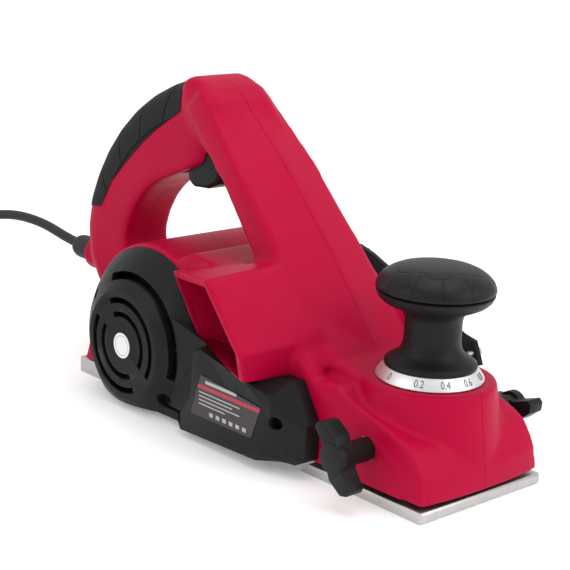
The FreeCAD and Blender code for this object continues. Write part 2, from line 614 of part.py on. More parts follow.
def adapter_block(inset, reach):
    """The adapter's funnel from its foot on the wall to its round port."""
    foot = drawn_in([(x, dim["body_half"] - reach, z) for x, z in flange_foot],
                    0.78 - inset / 30, (0, 0, 0))
    middle = [sum(axis) / len(foot) for axis in zip(*foot)]
    axis = V(PORT_AXIS).normalize()
    side = axis.cross(V(0, 0, 1)).normalize()
    mouth = []
    for x, y, z in foot:
        angle = math.atan2(z - middle[2], x - middle[0])
        mouth.append(tuple(PORT + side * ((PORT_RADIUS - inset) * math.cos(angle))
                           + V(0, 0, (PORT_RADIUS - inset) * math.sin(angle))))
    tube = Part.makeCylinder(PORT_RADIUS - inset, PORT_LENGTH + 1 + 2 * reach,
                             PORT - axis * (1 + reach), axis)
    return ruled(foot, mouth).fuse(tube)


flange_plate = slab(outline(*flange_foot), dim["body_half"], dim["body_half"] + 3)
flange_plate = flange_plate.cut([rod(1.6, 40, 60, x, z) for x, z in ADAPTER_SCREWS])
adapter = flange_plate.fuse(adapter_block(0, 0)).cut(adapter_block(2.5, 2))
shaped("dust_adapter", adapter)
adapter_screws = [rod(1.55, 41, 49.05, x, z).fuse(rod(2.6, 49.05, 50.8, x, z))
                  for x, z in ADAPTER_SCREWS]
shaped("adapter_screws", Part.makeCompound(adapter_screws))

# ---------------------------------------------------------------- depth knob
knob_at = placed(dim["knob_x"])
turned("depth_dial", [(11.2, 57.75), (28.5, 57.75), (28.3, 58.6), (24.6, 63.7), (24.6, 64),
                      (11.2, 64)], knob_at)
turned("depth_knob",
       [(6, 58), (11.2, 58), (11.2, 64), (24.5, 64), (24.3, 66), (19.5, 69), (16, 72.5),
        (15, 77), (15, 89), (17.5, 93.5), (24, 96), (29.6, 100), (31.4, 104.3), (5, 104.3),
        (5, 74), (2.5, 74), (2.5, 62), (6, 62)], knob_at)
turned("knob_cap", [(0, 104.3), (31.4, 104.3), (30.9, 107.5), (27.5, 112.4), (21, 115.8),
                    (11, 117.6), (0, 118)], knob_at)
turned("knob_screw", [(0, 48.3), (2.35, 48.3), (2.35, 74), (4.6, 74), (4.6, 77), (0, 77)],
       knob_at)

# ---------------------------------------------------------------- fence clamp bolts
INSERT_OUT, SHANK_END, HEAD_FACE = 45.9, 38.0, 66.0


def wing_bolt(side, tilt):
    """A moulded wing head on a boss with a threaded end, on one side of the nose."""
    def reach(radius, low, high):
        return rod(radius, *sorted((side * low, side * high)), dim["wing_x"], dim["wing_z"])
    bolt = reach(2.95, SHANK_END, 47).fuse([reach(6.2, 46.4, HEAD_FACE),
                                            reach(8, HEAD_FACE, HEAD_FACE + 5)])
    y = sorted((side * (HEAD_FACE - 6), side * (HEAD_FACE + 4.5)))
    wing = slab(outline((0, -5.5), (10, -6.2), (18.5, -1.5), (19.8, 3), (18, 5.5), (8.5, 4),
                        (0, 5.5)), *y)
    for turn in (0, 180):
        vane = wing.copy()
        vane.rotate(V(0, 0, 0), V(0, 1, 0), turn - tilt)
        bolt = bolt.fuse(vane.translated(V(dim["wing_x"], 0, dim["wing_z"])))
    return bolt.removeSplitter()


for side, name, tilt in ((-1, "right", 117), (1, "left", 10)):
    shaped(f"wing_bolt_{name}", wing_bolt(side, tilt))
inserts = []
for side in (-1, 1):
    y = sorted((side * 39.2, side * INSERT_OUT))
    inserts.append(rod(6.3, *y, dim["wing_x"], dim["wing_z"]).cut(
        rod(2.95 + dim["running"], -60, 60, dim["wing_x"], dim["wing_z"])))
shaped("threaded_inserts", Part.makeCompound(inserts))

# ---------------------------------------------------------------- trigger and switch
PIVOT_X, PIVOT_Z = -63.5, 149.0
trigger = slab(outline((-86.5, 140), (-87.5, 132), (-85, 126.5, -79, 125.3), (-69, 126),
                       (-60.5, 130), (-58.5, 134), (-58.5, 152.3), (-76, 152.3)), -12, 12,
               0, 2)
shaped("trigger", trigger.cut(rod(2 + dim["running"], -20, 20, PIVOT_X, PIVOT_Z)))
shaped("trigger_pin", rod(2, -12.15, 12.15, PIVOT_X, PIVOT_Z))
shaped("trigger_switch", block((-101, -73), (-7.5, 7.5), (156, 167)))
turned("lock_button", [(0, 12), (5.9, 12), (5.9, 14.2), (5, 14.2), (5, 20), (4, 21), (0, 21)],
       placed(-84, 0, 158, (0, 1, 0)))
shaped("capacitor", block((-34, -25), (-9, 9), (142, 150)))

# ---------------------------------------------------------------- mains lead
cord_radius = dim["cord_diameter"] / 2
turned("cord_sleeve",
       [(cord_radius, -183), (9.2, -183), (9.2, -186.9), (7.7, -186.9), (7.7, -208),
        (6.9, -212), (5, -214.6), (cord_radius, -215)],
       Placement(V(0, 0, dim["cord_z"]), Rotation(V(0, 0, 1), V(1, 0, 0))))
shaped("cord_clamp", block((-176, -168), (-10, 10), (dim["cord_z"] + 0.2, 68)).cut(
    Part.makeCylinder(cord_radius, 20, V(-180, 0, dim["cord_z"]), V(1, 0, 0))))

COIL_X, COIL_Y, COIL_RADIUS, TURN_GAP = -285.0, -87.5, 36.0, 6.5
LEAD = [(-165, 0, 60.4), (-219, 0, 60.6), (-259, -0.5, 67.8), (-299, -5, 66.3),
        (-331, -25, 54), (-345, -58, 36), (-339, -92, 18), (-318, -118, 6),
        (-287, -129.6, 3.3)]
TAIL = [(-287, -130, 16.3), (-262, -131.5, 15.8), (-238, -134, 14), (-214, -134.5, 13)]


def cord_tube(points):
    """A tube of the cord's diameter along straight runs joined by tangent arcs."""
    corners = [V(*point) for point in points]
    edges, here = [], corners[0]
    for before, corner, after in zip(corners, corners[1:], corners[2:]):
        back, ahead = before - corner, after - corner
        reach = 0.45 * min(back.Length, ahead.Length)
        half_turn = (math.pi - back.getAngle(ahead)) / 2
        radius = reach / math.tan(half_turn)
        back.normalize()
        ahead.normalize()
        start, end = corner + back * reach, corner + ahead * reach
        bisector = (back + ahead).normalize()
        middle = corner + bisector * (radius / math.cos(half_turn) - radius)
        if here.distanceToPoint(start) > 1e-6:
            edges.append(Part.LineSegment(here, start).toShape())
        edges.append(Part.Arc(start, middle, end).toShape())
        here = end
    edges.append(Part.LineSegment(here, corners[-1]).toShape())
    path = Part.Wire(edges)
    ring = Part.Wire(Part.makeCircle(cord_radius, corners[0], corners[1] - corners[0]))
    return path.makePipeShell([ring], True, True)


shaped("mains_lead", cord_tube(LEAD))
coil_height = 3 * TURN_GAP
lead_coil = post(COIL_RADIUS + 1.5 * TURN_GAP, 0, coil_height, COIL_X, COIL_Y).cut(
    post(COIL_RADIUS - 1.5 * TURN_GAP, -1, coil_height + 1, COIL_X, COIL_Y))
shaped("lead_coil", lead_coil)
shaped("lead_tail", cord_tube(TAIL))
PLUG_X, PLUG_Y, PLUG_Z = -214.0, -134.5, 13.0
plug = block((PLUG_X + 20, PLUG_X + 56), (PLUG_Y - 18, PLUG_Y + 18), (0, 26))
plug = plug.makeFillet(9, [edge for edge in plug.Edges if edge.BoundBox.XLength > 30])
relief = Part.makeCone(cord_radius + 1.6, 9, 21, V(PLUG_X, PLUG_Y, PLUG_Z), V(1, 0, 0))
shaped("plug_body", plug.fuse(relief))
pins = [Part.makeCylinder(2.4, 19, V(PLUG_X + 56, PLUG_Y + side * 9.5, PLUG_Z), V(1, 0, 0))
        for side in (-1, 1)]
shaped("plug_pins", Part.makeCompound(pins))

doc.recompute()
faults = [thing.Label for thing in doc.Objects if {"Invalid", "Error"} & set(thing.State)]
for piece in subparts:
    if piece.Shape.isNull() or not piece.Shape.isValid() or not piece.Shape.Solids:
        faults.append(piece.Label)
print("faults", faults)
os.makedirs("parts", exist_ok=True)
for piece in subparts:
    piece.Shape.exportStep(f"parts/{piece.Label}.step")
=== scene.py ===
import json
import math

import bmesh
import bpy
from mathutils import Matrix, Vector


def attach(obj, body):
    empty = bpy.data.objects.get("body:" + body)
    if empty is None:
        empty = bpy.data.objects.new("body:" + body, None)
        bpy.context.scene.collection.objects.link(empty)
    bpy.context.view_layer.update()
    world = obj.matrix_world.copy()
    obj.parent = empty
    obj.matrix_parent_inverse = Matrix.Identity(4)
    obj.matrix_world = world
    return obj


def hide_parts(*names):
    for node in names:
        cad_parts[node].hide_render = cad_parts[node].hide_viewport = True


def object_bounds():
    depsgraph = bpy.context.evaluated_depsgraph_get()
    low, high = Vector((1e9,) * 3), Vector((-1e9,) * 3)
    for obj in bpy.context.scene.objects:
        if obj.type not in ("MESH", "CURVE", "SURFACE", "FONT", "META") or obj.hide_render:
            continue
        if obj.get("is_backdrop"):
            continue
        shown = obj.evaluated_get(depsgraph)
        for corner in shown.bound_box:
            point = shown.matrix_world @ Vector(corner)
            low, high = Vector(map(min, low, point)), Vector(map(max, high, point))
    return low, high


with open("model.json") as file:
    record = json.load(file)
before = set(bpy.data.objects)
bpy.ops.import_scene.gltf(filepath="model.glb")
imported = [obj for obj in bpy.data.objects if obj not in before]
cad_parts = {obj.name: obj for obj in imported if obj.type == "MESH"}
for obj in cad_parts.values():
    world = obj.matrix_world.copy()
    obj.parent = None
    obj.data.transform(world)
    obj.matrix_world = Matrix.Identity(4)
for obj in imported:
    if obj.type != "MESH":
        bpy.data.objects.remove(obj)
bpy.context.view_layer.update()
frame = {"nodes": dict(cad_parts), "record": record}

MM = 0.001
nodes = frame["nodes"]

# Camera. It stands to the right of the nose, a little above the knob, and looks back along
# the planer with a long lens.
yaw, pitch, roll = 2.394, 0.267, 0.047
ahead = Vector((math.cos(pitch) * math.cos(yaw), math.cos(pitch) * math.sin(yaw),
                -math.sin(pitch)))
level = ahead.cross(Vector((0, 0, 1))).normalized()
upward = level.cross(ahead)
across = level * math.cos(roll) + upward * math.sin(roll)
upward = upward * math.cos(roll) - level * math.sin(roll)
lens = bpy.data.cameras.new("view")
lens.sensor_width = 36.0
lens.lens = 36.0 * 1543.535 / 570
lens.shift_x = 1.1 / 570
lens.clip_start = 0.01
camera = bpy.data.objects.new("view", lens)
turn = Matrix((across, upward, -ahead)).transposed().to_4x4()
camera.matrix_world = Matrix.Translation((0.60988, -0.57615, 0.31142)) @ turn
bpy.context.scene.collection.objects.link(camera)
bpy.context.scene.camera = camera
bpy.context.scene.view_settings.view_transform = "Standard"


# Mains lead. A 6.5 mm rubber sheathed lead leaves the back of the handle, runs along behind
# the planer and is wound into a coil of three layers, held by its own stiffness.
class Socket:
    """One value, colour or vector on its way through a finish's nodes."""

    def __init__(self, finish, outlet):
        self.finish = finish
        self.outlet = outlet

    def sum(self, operation, first, second=0.0):
        return self.finish.node("ShaderNodeMath", {"operation": operation},
                                {0: first, 1: second})

    def __add__(self, other):
        return self.sum("ADD", self, other)

    def __sub__(self, other):
        return self.sum("SUBTRACT", self, other)

    def __rsub__(self, other):
        return self.sum("SUBTRACT", other, self)

    def __mul__(self, other):
        return self.sum("MULTIPLY", self, other)

    def __truediv__(self, other):
        return self.sum("DIVIDE", self, other)

    def __pow__(self, other):
        return self.sum("POWER", self, other)

    def below(self, other):
        return self.sum("LESS_THAN", self, other)

    def above(self, other):
        return self.sum("GREATER_THAN", self, other)

    def sine(self):
        return self.sum("SINE", self)

    def size(self):
        return self.sum("ABSOLUTE", self)

    def eased(self, low, high):
        """0 below low, 1 above high and a smooth step between them."""
        return self.finish.node("ShaderNodeMapRange", {"interpolation_type": "SMOOTHSTEP"},
                                {"Value": self, "From Min": low, "From Max": high})

    __radd__ = __add__
    __rmul__ = __mul__


class Finish:
    """A finish in the making. Sizes in its patterns are in metres on the piece."""

    def __init__(self, name, **fixed):
        self.material = bpy.data.materials.new(name)
        self.material.use_nodes = True
        self.tree = self.material.node_tree
        self.shader = self.tree.nodes["Principled BSDF"]
        for socket, value in fixed.items():
            self.shader.inputs[socket.replace("_", " ")].default_value = value
        place = self.tree.nodes.new("ShaderNodeTexCoord")
        self.place = Socket(self, place.outputs["Object"])

    def feed(self, inlet, value):
        if isinstance(value, Socket):
            self.tree.links.new(value.outlet, inlet)
        else:
            inlet.default_value = value

    def node(self, kind, settings, values):
        made = self.tree.nodes.new(kind)
        for key, value in settings.items():
            setattr(made, key, value)
        for key, value in values.items():
            self.feed(made.inputs[key], value)
        return Socket(self, made.outputs[0])

    def axes(self, place=None):
        """The X, Y and Z of the place on the piece."""
        split = self.tree.nodes.new("ShaderNodeSeparateXYZ")
        self.feed(split.inputs[0], place or self.place)
        return [Socket(self, outlet) for outlet in split.outputs]

    def moved(self, location=(0, 0, 0), rotation=(0, 0, 0), scale=(1, 1, 1)):
        return self.node("ShaderNodeMapping", {}, {
            "Vector": self.place, "Location": location, "Rotation": rotation, "Scale": scale})

    def cloud(self, scale, detail=3.0, place=None):
        return self.node("ShaderNodeTexNoise", {}, {
            "Vector": place or self.place, "Scale": scale, "Detail": detail, "Roughness": 0.55})

    def mixed(self, share, first, second):
        """A colour between two, by share."""
        blend = self.tree.nodes.new("ShaderNodeMix")
        blend.data_type = "RGBA"
        colours = [socket for socket in blend.inputs if socket.type == "RGBA"]
        self.feed(blend.inputs[0], share)
        for socket, colour in zip(colours, (first, second)):
            self.feed(socket, colour if isinstance(colour, Socket) else (*colour, 1))
        return Socket(self, [socket for socket in blend.outputs if socket.type == "RGBA"][0])

    def coloured(self, colour):
        self.feed(self.shader.inputs["Base Color"], colour)
        return self

    def gloss(self, value):
        self.feed(self.shader.inputs["Roughness"], value)
        return self

    def raised(self, height, distance):
        """Relief of this height pattern, its full height in metres."""
        relief = self.node("ShaderNodeBump", {}, {
            "Height": height, "Distance": distance, "Strength": 1.0})
        self.feed(self.shader.inputs["Normal"], relief)
        return self


jacket = Finish("cord_jacket", Specular_IOR_Level=0.35)
wear = jacket.cloud(90.0)
jacket.coloured(jacket.mixed(wear, (0.012, 0.012, 0.013), (0.024, 0.024, 0.025)))
jacket.gloss(0.5 + wear * 0.18)
jacket.raised(jacket.cloud(1400.0, 2.0), 0.00006)

lead_points = [(-0.195, 0, 0.0604), (-0.219, 0, 0.0606), (-0.259, -0.0005, 0.0678),
               (-0.299, -0.005, 0.0663), (-0.331, -0.025, 0.054), (-0.345, -0.058, 0.036),
               (-0.339, -0.092, 0.018), (-0.318, -0.118, 0.006)]
coil_middle = Vector((-0.285, -0.0875, 0))
layer_steps = [(300, 360, -6.5, 0), (660, 720, -6.5, 0), (900, 960, 0, 6.5), (1200, 1260, 6.5, 0),
               (1560, 1620, 6.5, 0), (1860, 1920, 0, 6.5)]
for mark in range(0, 2160, 20):
    radius, height = 42.5, 3.25
    for start, end, inward, rise in layer_steps:
        share = min(max((mark - start) / (end - start), 0), 1)
        radius += inward * share
        height += rise * share
    angle = math.radians(mark - 90)
    out = radius * 1.0155 * MM
    lead_points.append((coil_middle.x + out * math.cos(angle),
                        coil_middle.y + out * math.sin(angle), height * MM))
lead_points += [(-0.283, -0.1306, 0.0163), (-0.262, -0.1315, 0.0158), (-0.238, -0.134, 0.014),
                (-0.207, -0.1345, 0.013)]
line = bpy.data.curves.new("lead", "CURVE")
line.dimensions = "3D"
line.bevel_depth = 0.00325
line.bevel_resolution = 5
line.resolution_u = 6
line.use_fill_caps = True
run = line.splines.new("NURBS")
run.points.add(len(lead_points) - 1)
for point, spot in zip(run.points, lead_points):
    point.co = (*spot, 1)
run.order_u = 3
run.use_endpoint_u = True
lead = bpy.data.objects.new("lead", line)
lead.data.materials.append(jacket.material)
bpy.context.scene.collection.objects.link(lead)
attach(lead, "root")
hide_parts("mains_lead", "lead_coil", "lead_tail")


# Strain relief. A moulded rubber sleeve with a rounded tip guides the lead out of the
# handle's gland. It is pushed through from inside and held by its collar.
def place_piece(shape, name, finish, body, smooth=True):
    """Closes a shape drawn in millimetres, turns its faces outwards and makes it a piece."""
    bmesh.ops.remove_doubles(shape, verts=shape.verts, dist=0.001)
    bmesh.ops.recalc_face_normals(shape, faces=shape.faces)
    bmesh.ops.scale(shape, vec=(MM, MM, MM), verts=shape.verts)
    mesh = bpy.data.meshes.new(name)
    shape.to_mesh(mesh)
    shape.free()
    for face in mesh.polygons:
        face.use_smooth = smooth
    piece = bpy.data.objects.new(name, mesh)
    bpy.context.scene.collection.objects.link(piece)
    mesh.materials.append(finish.material)
    if body:
        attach(piece, body)
    return piece


def turn_profile(shape, profile, steps=96, closed=False):
    """Spins a profile of (radius, height) points about Z."""
    corners = [shape.verts.new((radius, 0, height)) for radius, height in profile]
    edges = [shape.edges.new(pair) for pair in zip(corners, corners[1:])]
    if closed:
        edges.append(shape.edges.new((corners[-1], corners[0])))
    bmesh.ops.spin(shape, geom=corners + edges, axis=(0, 0, 1), cent=(0, 0, 0), steps=steps,
                   angle=math.tau, use_merge=True)
    bmesh.ops.remove_doubles(shape, verts=shape.verts, dist=0.001)


def crisp(piece, angle=35):
    """Smooth shading that breaks at real edges."""
    with bpy.context.temp_override(object=piece, active_object=piece, selected_objects=[piece],
                                   selected_editable_objects=[piece]):
        bpy.ops.object.shade_smooth_by_angle(angle=math.radians(angle))


sleeve_profile = [(3.3, -183), (9.1, -183.1), (9.1, -186.8), (7.7, -187), (7.7, -207),
                  (7.4, -209.6), (6.6, -212), (5.4, -213.8), (4.2, -214.8), (3.3, -215)]
shape = bmesh.new()
turn_profile(shape, sleeve_profile, 48)
bmesh.ops.rotate(shape, verts=shape.verts, cent=(0, 0, 0),
                 matrix=Matrix.Rotation(math.pi / 2, 3, "Y"))
bmesh.ops.translate(shape, verts=shape.verts, vec=(0, 0, 60.4))
sleeve = place_piece(shape, "cord_relief", jacket, "root")
crisp(sleeve, 50)
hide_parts("cord_sleeve")

# Housing. Two halves in crimson nylon with a fine satin texture, moulded with the handle,
# the bridge, the chip chute and the nose in one. Seven screws from the left hold them.
red = Finish("red_shell", Specular_IOR_Level=0.08)
mottle = red.cloud(14.0)
red.coloured(red.mixed(mottle, (0.39, 0.0008, 0.032), (0.44, 0.0012, 0.037)))
red.gloss(0.40 + red.cloud(60.0) * 0.08)
red.raised(red.cloud(1500.0, 2.0), 0.00005)


def add_plate(shape, corners, low, high, bevel=0.0):
    """Adds a plate of (X, Z) corners from one Y to another, with its rims rounded."""
    face = shape.faces.new([shape.verts.new((x, low, z)) for x, z in corners])
    grown = bmesh.ops.extrude_face_region(shape, geom=[face])["geom"]
    raised = [part for part in grown if isinstance(part, bmesh.types.BMVert)]
    bmesh.ops.translate(shape, verts=raised, vec=(0, high - low, 0))
    if bevel:
        far = [part for part in grown if isinstance(part, bmesh.types.BMFace)]
        rims = {edge for rim in [face] + far for edge in rim.edges}
        bmesh.ops.bevel(shape, geom=list(rims), offset=bevel, segments=3, profile=0.5,
                        affect="EDGES", material=-1, clamp_overlap=True)


def add_hull(shape, corners):
    """Adds the solid that a sheet pulled tight round some corners would make."""
    verts = [shape.verts.new(corner) for corner in corners]
    made = bmesh.ops.convex_hull(shape, input=verts)
    spare = [part for part in made["geom_interior"] if isinstance(part, bmesh.types.BMVert)]
    bmesh.ops.delete(shape, geom=spare, context="VERTS")


def add_rod(shape, radius, low, high, x, z, steps=48):
    """Adds a round bar along Y."""
    turned = Matrix.Translation((x, (low + high) / 2, z)) @ Matrix.Rotation(math.pi / 2, 4, "X")
    bmesh.ops.create_cone(shape, cap_ends=True, segments=steps, radius1=radius, radius2=radius,
                          depth=high - low, matrix=turned)


def add_block(shape, x, y, z):
    """Adds a block from three (low, high) pairs."""
    middle = [(low + high) / 2 for low, high in (x, y, z)]
    size = [high - low for low, high in (x, y, z)]
    bmesh.ops.create_cube(shape, size=1.0, matrix=Matrix.Translation(middle)
                          @ Matrix.Diagonal((*size, 1)))


def tool_piece(shape, name):
    """A shape that cuts or joins another and isn't kept."""
    return place_piece(shape, name, red, None, smooth=False)


def settled(piece):
    """Applies a piece's modifiers to its mesh."""
    whole = piece.evaluated_get(bpy.context.evaluated_depsgraph_get())
    mesh = bpy.data.meshes.new_from_object(whole)
    piece.modifiers.clear()
    piece.data = mesh
    return piece


def combined(piece, tool, operation, keep_tool=False):
    """Cuts a piece with a tool, joins the two or keeps what they share."""
    step = piece.modifiers.new("tool", "BOOLEAN")
    step.object = tool
    step.operation = operation
    step.solver = "MANIFOLD"
    settled(piece)
    if not keep_tool:
        bpy.data.objects.remove(tool)
    return piece


def copied(piece, name):
    twin = bpy.data.objects.new(name, piece.data.copy())
    bpy.context.scene.collection.objects.link(twin)
    return twin


handle_line = [(-60, 168), (-78, 191), (-104, 182.5), (-121.5, 174.1), (-137.7, 163.3),
               (-152.1, 150.3), (-164.6, 135.4), (-174.8, 118.8), (-182.5, 101), (-186, 82),
               (-183, 62), (-172, 45), (-140, 33), (-96, 60)]
finger_line = [(-4, 103), (-45, 146), (-58, 146), (-100, 128), (-111.5, 123.1), (-121.8, 115.9),
               (-130.2, 106.7), (-136.6, 95.9), (-140.5, 84), (-138, 72), (-116, 82), (-86, 93),
               (-66, 96.5)]
pillar_line = [(-20, 146), (-44, 172), (-50.9, 180.1), (-59.6, 186.3), (-69.5, 190.1),
               (-77, 191.4), (-82.5, 189.2), (-85.5, 184.5), (-84, 170), (-62, 148.5),
               (-45, 146)]
body_line = [(-140, 9.5), (56, 9.5), (56.5, 8.3), (146.5, 8.3), (145, 20), (141, 27.5), (136, 34),
             (130, 37), (118, 41), (92, 47), (80, 53), (64, 52.5), (43, 56), (14, 86), (-12, 96),
             (-44, 97), (-100, 60), (-134, 30)]
core_line = [(0, 20), (100, 20), (84, 57.3), (66, 60), (30, 90), (0, 92)]
# Sections across the bridge, each square to its slope: how far down it, then the heights of
# the ridge, of the shoulders and of the back over a 45 degree line, and the half width.
bridge_sections = [(-176, 89, 86.5, 68, 24), (-120, 94.6, 88, 72.5, 30),
                   (-60, 94, 88, 66, 31.5), (0, 89, 83, 30, 31.5)]
chute_rim = [(-41, -58, 90), (11, -78, 99), (41, -78, 65), (38, -72, 48.4), (-19.3, -54.2, 52.6)]
chute_root = [(-30, -30, 92), (20, -30, 104), (54, -30, 71), (50, -30, 50), (-10, -30, 54)]

shape = bmesh.new()
add_plate(shape, handle_line, -17.5, 17.5, 11.0)
loop = tool_piece(shape, "loop")
shape = bmesh.new()
add_plate(shape, pillar_line, -21.8, 21.8, 5.0)
loop = combined(loop, tool_piece(shape, "pillar"), "UNION")
shape = bmesh.new()
add_plate(shape, finger_line, -60, 60)
loop = combined(loop, tool_piece(shape, "finger_hole"), "DIFFERENCE")

shape = bmesh.new()
add_plate(shape, body_line, -46, 46)
add_plate(shape, core_line, -31, 31)
for side in (-1, 1):
    add_hull(shape, [(18, side * 31, 102), (52, side * 31, 69), (62, side * 31, 58),
                     (0, side * 31, 60), (40, side * 31, 40), (14, side * 45.9, 86),
                     (43, side * 45.9, 56), (64, side * 45.9, 52.5), (0, side * 45.9, 60)])
trunk = tool_piece(shape, "trunk")

shape = bmesh.new()
add_rod(shape, 57, -46, 46, -75.5, 38.3, 128)
bmesh.ops.bisect_plane(shape, geom=shape.verts[:] + shape.edges[:] + shape.faces[:],
                       plane_co=(0, 0, 9.5), plane_no=(0, 0, -1), clear_outer=True)
bmesh.ops.holes_fill(shape, edges=[edge for edge in shape.edges if edge.is_boundary])
barrel = tool_piece(shape, "barrel")

shape = bmesh.new()
slope = math.sqrt(0.5)
rings = []
for station, ridge, shoulder, back, half in bridge_sections:
    rings.append([((height + station) * slope, y, (height - station) * slope) for y, height in (
        (0, ridge), (half, shoulder), (half, back), (-half, back), (-half, shoulder))])
for upper, lower in zip(rings, rings[1:]):
    add_hull(shape, upper + lower)
add_hull(shape, chute_rim + chute_root)
bmesh.ops.create_cone(shape, cap_ends=True, segments=128, radius1=43.3, radius2=35.5, depth=48.5,
                      matrix=Matrix.Translation((103.1, 0, 33.25)))
bmesh.ops.create_cone(shape, cap_ends=True, segments=64, radius1=11, radius2=11, depth=26,
                      matrix=Matrix.Translation((-180, 0, 60.4))
                      @ Matrix.Rotation(math.pi / 2, 4, "Y"))
block = tool_piece(shape, "block")
for part in (loop, trunk, barrel):
    shape = bmesh.new()
    shape.from_mesh(block.data)
    shape.from_mesh(part.data)
    shape.to_mesh(block.data)
    shape.free()
    bpy.data.objects.remove(part)
fine = block.modifiers.new("fine", "REMESH")
fine.mode = "VOXEL"
fine.voxel_size = 1.3 * MM
settled(block)

# The nose is rounded in plan and stands back above the panel on each of its sides. Every
# edge but the foot's and the chute mouth's is soft.
panel_top = [(60, 50), (75, 46), (95, 38), (115.5, 30.5), (127.3, 24.7), (131.7, 19.5), (133.5, 0),
             (150, -10)]
for corner in block.data.vertices:
    x, y, z = corner.co / MM
    if x > 112:
        corner.co.x -= 3.4 * MM * (y / 46) ** 2 * min((x - 112) / 25, 1)
    for (start, height), (end, far_height) in zip(panel_top, panel_top[1:]):
        if start < x <= end and abs(y) > 40:
            above = z - height - (far_height - height) * (x - start) / (end - start)
            step_in = 1.5 * min(max(above / 1.4, 0), 1) * min((x - 60) / 12, 1)
            corner.co.y -= math.copysign(step_in * MM, y)
soft = block.vertex_groups.new(name="soft")
softer = block.vertex_groups.new(name="softer")
for corner in block.data.vertices:
    x, y, z = corner.co / MM
    ease = min(max((z - 9.6) / 7, 0), 1)
    if x < -186:
        ease *= 0.25
    if y < -46:
        ease *= 0.12
    soft.add([corner.index], ease, "REPLACE")
    high = min(max((x + z - 20) / 60, 0), 1) if x > -60 else 1.0
    high *= min(max((z - 52) / 30, 0), 1)
    if x > -92 and z > 140:
        high *= 0.3
    softer.add([corner.index], high * ease, "REPLACE")
for group, passes in (("soft", 12), ("softer", 34)):
    step = block.modifiers.new("ease", "SMOOTH")
    step.factor = 0.5
    step.iterations = passes
    step.vertex_group = group
settled(block)


def drawn_in(corners, factor, shift):
    """The same corners, drawn in about their middle and moved."""
    middle = sum((Vector(corner) for corner in corners), Vector()) / len(corners)
    return [middle + (Vector(corner) - middle) * factor + Vector(shift) for corner in corners]


outward = (Vector(chute_rim[2]) - Vector(chute_rim[0])).cross(
    Vector(chute_rim[1]) - Vector(chute_rim[0])).normalized()
if outward.y > 0:
    outward = -outward
duct = drawn_in(chute_rim, 0.885, outward * 4) + drawn_in(chute_root, 0.86, (0, 12, 0))
liner = drawn_in(chute_rim, 0.95, outward * -2) + drawn_in(chute_root, 0.93, (0, 8, 0))

housing_screws = [(-164, 104, 17), (-134, 138, 17), (-56, 170, 20.5), (-12, 124, 30),
                  (-134, 52, 17), (-28, 20, 45.5), (124, 24, 44)]


def cut_half(name, side):
    """One half of the housing: cut at the middle, opened underneath and given its wall."""
    half = copied(block, name)
    shape = bmesh.new()
    shape.from_mesh(half.data)
    bmesh.ops.bisect_plane(shape, geom=shape.verts[:] + shape.edges[:] + shape.faces[:],
                           plane_co=(0, side * 0.12 * MM, 0), plane_no=(0, -side, 0),
                           clear_outer=True)
    under = [face for face in shape.faces
             if face.normal.z < -0.8 and face.calc_center_median().z < 10.6 * MM]
    bmesh.ops.delete(shape, geom=under, context="FACES")
    shape.to_mesh(half.data)
    shape.free()
    wall = half.modifiers.new("wall", "SOLIDIFY")
    wall.thickness = 2.6 * MM
    wall.offset = -1
    settled(half)
    foot = 8.3
    for corner in half.data.vertices:
        corner.co.z = max(corner.co.z, foot * MM)
    return half


def add_cutters(shape, side):
    """Adds the trigger's slot, the lead's hole, the dial's seat and the clamp's hole."""
    add_block(shape, (-92, -56.5), (-12.6, 12.6), (112, 154))
    bmesh.ops.create_cone(shape, cap_ends=True, segments=48, radius1=7.9, radius2=7.9, depth=40,
                          matrix=Matrix.Translation((-186, 0, 60.4))
                          @ Matrix.Rotation(math.pi / 2, 4, "Y"))
    bmesh.ops.create_cone(shape, cap_ends=True, segments=128, radius1=28.9, radius2=28.9,
                          depth=40, matrix=Matrix.Translation((103.1, 0, 77.5)))
    add_rod(shape, 6.4, *sorted((side * 38, side * 50)), 105, 28)


right_half = cut_half("housing_right_shell", -1)
shape = bmesh.new()
add_cutters(shape, -1)
combined(right_half, tool_piece(shape, "cutter"), "DIFFERENCE")
shape = bmesh.new()
add_hull(shape, duct)
duct_tool = tool_piece(shape, "duct")
combined(right_half, duct_tool, "DIFFERENCE", keep_tool=True)
shape = bmesh.new()
add_hull(shape, liner)
liner_piece = combined(tool_piece(shape, "liner"), duct_tool, "DIFFERENCE")
shape = bmesh.new()
shape.from_mesh(right_half.data)
shape.from_mesh(liner_piece.data)
shape.to_mesh(right_half.data)
shape.free()
bpy.data.objects.remove(liner_piece)

left_half = cut_half("housing_left_shell", 1)
shape = bmesh.new()
add_cutters(shape, 1)
combined(left_half, tool_piece(shape, "cutter"), "DIFFERENCE")
shape = bmesh.new()
for x, z, face in housing_screws:
    add_rod(shape, 3.3, 9.5, 60, x, z, 24)
add_rod(shape, 5.4, 8, 24, -84, 158)
add_plate(shape, [(10, 56), (58, 56), (58, 72), (40, 82), (10, 82)], 38, 52)
combined(left_half, tool_piece(shape, "cutter"), "DIFFERENCE")
shape = bmesh.new()
for number in range(7):
    angle = math.radians(45 * number)
    corners = [(-3.2, 24), (3.2, 24), (3.2, 40), (-3.2, 40)]
    spun = [(-75.5 + x * math.cos(angle) + z * math.sin(angle),
             38.3 - x * math.sin(angle) + z * math.cos(angle)) for x, z in corners]
    if min(z for x, z in spun) > 14:
        add_plate(shape, spun, 40, 50)
combined(left_half, tool_piece(shape, "cutter"), "DIFFERENCE")
shape = bmesh.new()
shape.from_mesh(left_half.data)
bmesh.ops.scale(shape, vec=(1000, 1000, 1000), verts=shape.verts)
